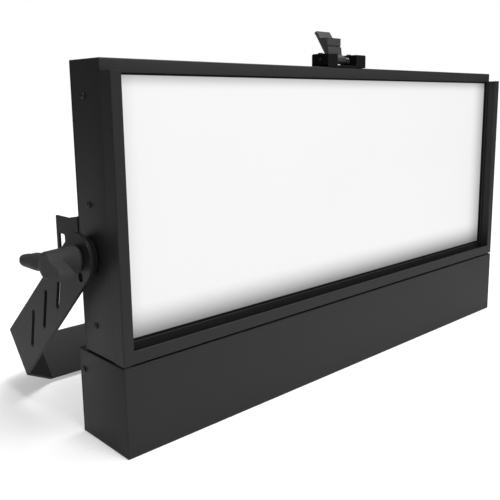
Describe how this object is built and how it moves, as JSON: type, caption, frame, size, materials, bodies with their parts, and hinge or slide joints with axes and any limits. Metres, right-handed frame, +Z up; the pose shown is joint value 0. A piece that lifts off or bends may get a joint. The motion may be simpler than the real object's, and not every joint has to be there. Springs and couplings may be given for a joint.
{
  "type": "led soft light",
  "caption": "Wide LED soft light panel on a slim control base, with a tilting yoke, side clamp knobs and a front accessory channel.",
  "frame": {"origin": "centre of the base's flat bottom face, which the light stands on", "axes": "+X along the panel's width to the right as the lit face is looked at from the back, the lit face looks along -Y, +Z is up"},
  "size_m": [0.68, 0.2333, 0.3704],
  "materials": {
    "powder_coat": "satin charcoal powder coat on folded sheet",
    "knob_plastic": "matte black moulded plastic",
    "latch_plastic": "satin dark grey moulded plastic",
    "opal_acrylic": "satin opal acrylic sheet",
    "white_enamel": "matte white enamel",
    "zinc_steel": "zinc plated steel",
    "aluminium": "mill finish aluminium",
    "board_mask": "white solder mask",
    "rubber": "matte black rubber",
    "display_glass": "smoked clear window",
    "cable_jacket": "black flexible jacket"
  },
  "bodies": {
    "head": {"upper_housing": "powder_coat", "front_bezel": "powder_coat", "rear_cover": "powder_coat", "diffuser_panel": "opal_acrylic", "light_box": "white_enamel", "led_board_left": "board_mask", "led_board_right": "board_mask", "heat_sink": "aluminium", "base_box": "powder_coat", "control_panel": "powder_coat", "power_inlet": "knob_plastic", "power_outlet": "knob_plastic", "dmx_in": "knob_plastic", "dmx_out": "knob_plastic", "display_window": "display_glass", "control_board": "board_mask", "power_supply": "aluminium", "led_harness": "cable_jacket", "rail_left": "powder_coat", "rail_right": "powder_coat", "rail_bottom": "powder_coat", "friction_disc_left": "rubber", "friction_disc_right": "rubber", "pivot_insert_left": "zinc_steel", "pivot_insert_right": "zinc_steel", "rear_lug_left": "powder_coat", "rear_lug_right": "powder_coat", "latch_base": "knob_plastic", "latch_pin": "zinc_steel", "latch_spring": "zinc_steel", "latch_screw_left": "zinc_steel", "latch_screw_right": "zinc_steel", "side_screw_left_1": "zinc_steel", "side_screw_left_2": "zinc_steel", "side_screw_left_3": "zinc_steel", "side_screw_right_1": "zinc_steel", "side_screw_right_2": "zinc_steel", "side_screw_right_3": "zinc_steel", "base_screw_left": "zinc_steel", "base_screw_right": "zinc_steel", "cover_screw_1": "zinc_steel", "cover_screw_2": "zinc_steel", "cover_screw_3": "zinc_steel", "cover_screw_4": "zinc_steel", "lug_screw_left_1": "zinc_steel", "lug_screw_left_2": "zinc_steel", "lug_screw_right_1": "zinc_steel", "lug_screw_right_2": "zinc_steel"},
    "yoke": {"yoke": "powder_coat"},
    "washer_left": {"washer_left": "zinc_steel"},
    "washer_right": {"washer_right": "zinc_steel"},
    "knob_left": {"knob_left": "knob_plastic", "knob_stud_left": "zinc_steel"},
    "knob_right": {"knob_right": "knob_plastic", "knob_stud_right": "zinc_steel"},
    "latch_lever": {"latch_lever": "latch_plastic"},
    "menu_button": {"menu_button": "rubber"},
    "down_button": {"down_button": "rubber"},
    "up_button": {"up_button": "rubber"},
    "enter_button": {"enter_button": "rubber"}
  },
  "joints": [
    {"name": "yoke_tilt", "type": "hinge", "parent": "head", "child": "yoke", "pos_m": [0, 0.012, 0.168], "axis": [1, 0, 0], "range_deg": [-48, 176]},
    {"name": "knob_left_travel", "type": "slide", "parent": "head", "child": "washer_left", "axis": [-1, 0, 0], "range_m": [0, 0.00187]},
    {"name": "knob_left_turn", "type": "hinge", "parent": "washer_left", "child": "knob_left", "pos_m": [0, 0.012, 0.168], "axis": [-1, 0, 0], "range_deg": [0, 540]},
    {"name": "knob_right_travel", "type": "slide", "parent": "head", "child": "washer_right", "axis": [1, 0, 0], "range_m": [0, 0.00187]},
    {"name": "knob_right_turn", "type": "hinge", "parent": "washer_right", "child": "knob_right", "pos_m": [0, 0.012, 0.168], "axis": [1, 0, 0], "range_deg": [0, 540]},
    {"name": "latch_lever_tilt", "type": "hinge", "parent": "head", "child": "latch_lever", "pos_m": [-0.003, -0.0105, 0.3393], "axis": [-1, 0, 0], "range_deg": [0, 35], "stiffness_Nm_per_rad": 0.12, "springref_deg": -20.05},
    {"name": "menu_button_press", "type": "slide", "parent": "head", "child": "menu_button", "axis": [0, -1, 0], "range_m": [0, 0.0012], "stiffness_N_per_m": 300, "springref_m": -0.001},
    {"name": "down_button_press", "type": "slide", "parent": "head", "child": "down_button", "axis": [0, -1, 0], "range_m": [0, 0.0012], "stiffness_N_per_m": 300, "springref_m": -0.001},
    {"name": "up_button_press", "type": "slide", "parent": "head", "child": "up_button", "axis": [0, -1, 0], "range_m": [0, 0.0012], "stiffness_N_per_m": 300, "springref_m": -0.001},
    {"name": "enter_button_press", "type": "slide", "parent": "head", "child": "enter_button", "axis": [0, -1, 0], "range_m": [0, 0.0012], "stiffness_N_per_m": 300, "springref_m": -0.001}
  ],
  "couplings": [
    {"joint": "knob_left_turn", "follows": "knob_left_travel", "rad_per_m": 5026.5},
    {"joint": "knob_right_turn", "follows": "knob_right_travel", "rad_per_m": 5026.5}
  ]
}
